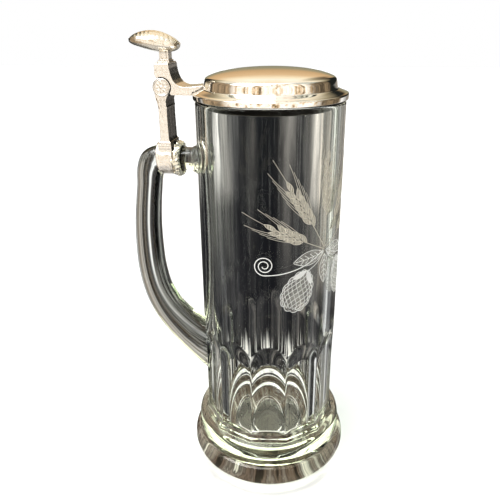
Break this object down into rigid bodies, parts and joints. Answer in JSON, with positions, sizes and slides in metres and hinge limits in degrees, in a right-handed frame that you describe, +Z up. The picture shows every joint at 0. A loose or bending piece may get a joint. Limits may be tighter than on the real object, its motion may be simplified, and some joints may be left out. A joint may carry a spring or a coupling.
{
  "type": "beer stein",
  "caption": "Tall clear glass stein with flat panels round its lower body, a rod handle and a hinged pewter lid opened by a thumb lever.",
  "frame": {"origin": "centre of the flat resting face of the foot, on the mug's own axis", "axes": "+Z up through the mouth, handle and thumb lever towards -X, hinge pin along Y, engraved side towards +X"},
  "size_m": [0.1307, 0.0976, 0.2555],
  "materials": {
    "glass": "clear fire-polished glass with a faint green tint in the thick foot, matt white wheel engraving opposite the handle",
    "polished_pewter": "spun pewter polished to a soft mirror, with fine turning lines",
    "cast_pewter": "cast pewter, satin, with fine pitting and darker hollows",
    "steel_pin": "drawn steel wire"
  },
  "bodies": {
    "mug": {"glass_mug": "glass", "hinge_strap": "cast_pewter", "handle_collar": "cast_pewter", "hinge_pin": "steel_pin", "pin_cap_near": "cast_pewter", "pin_cap_far": "cast_pewter"},
    "lid": {"lid_shell": "polished_pewter", "lid_arm": "cast_pewter", "thumb_lever": "cast_pewter"}
  },
  "joints": [
    {"name": "lid_hinge", "type": "hinge", "parent": "mug", "child": "lid", "pos_m": [-0.0573, 0, 0.2275], "axis": [0, -1, 0], "range_deg": [0, 100]}
  ]
}
